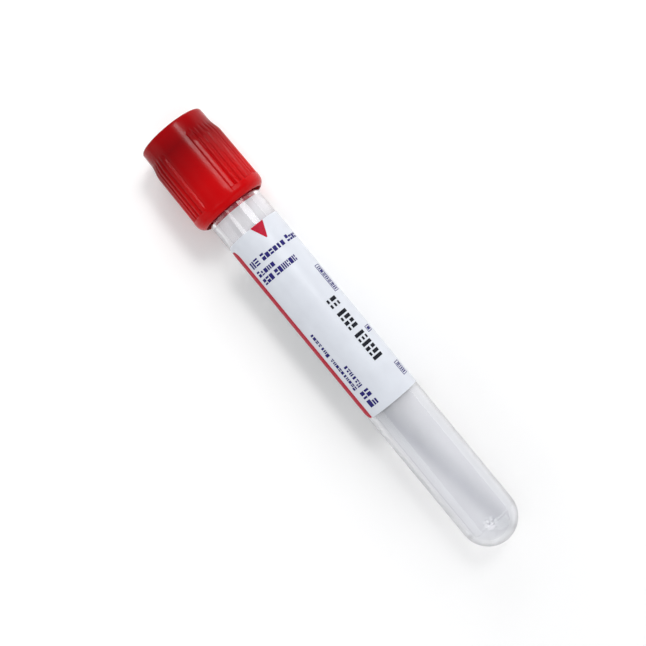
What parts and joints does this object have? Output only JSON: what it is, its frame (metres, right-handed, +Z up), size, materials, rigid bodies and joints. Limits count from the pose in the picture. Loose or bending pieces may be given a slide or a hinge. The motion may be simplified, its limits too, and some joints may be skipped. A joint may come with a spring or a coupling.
{
  "type": "blood collection tube",
  "caption": "Clear round-bottomed blood collection tube with a white wrap-around label and a ribbed red cap that holds a rubber stopper.",
  "frame": {"origin": "middle of the underside of the part's box, on the surface that the tube lies on", "axes": "+X along the tube towards its cap, +Z up, away from the surface; the tube's own axis rises 1.15 degrees from +X towards the cap"},
  "size_m": [0.1133, 0.0176, 0.0165],
  "materials": {
    "tube": "clear moulded PET, faintly milky inside",
    "stopper": "matt dark red rubber",
    "cap": "moulded red plastic, semi-gloss",
    "label": "white film with a slight gloss",
    "label_print_red": "crimson ink",
    "label_print_navy": "navy ink",
    "label_print_black": "black ink"
  },
  "bodies": {
    "tube": {"tube": "tube", "label": "label", "label_print_red": "label_print_red", "label_print_navy": "label_print_navy", "label_print_black": "label_print_black"},
    "closure": {"cap": "cap", "stopper": "stopper"}
  },
  "joints": [
    {"name": "closure_pull", "type": "slide", "parent": "tube", "child": "closure", "axis": [0.9998, 0, 0.0201], "range_m": [0, 0.03]}
  ]
}
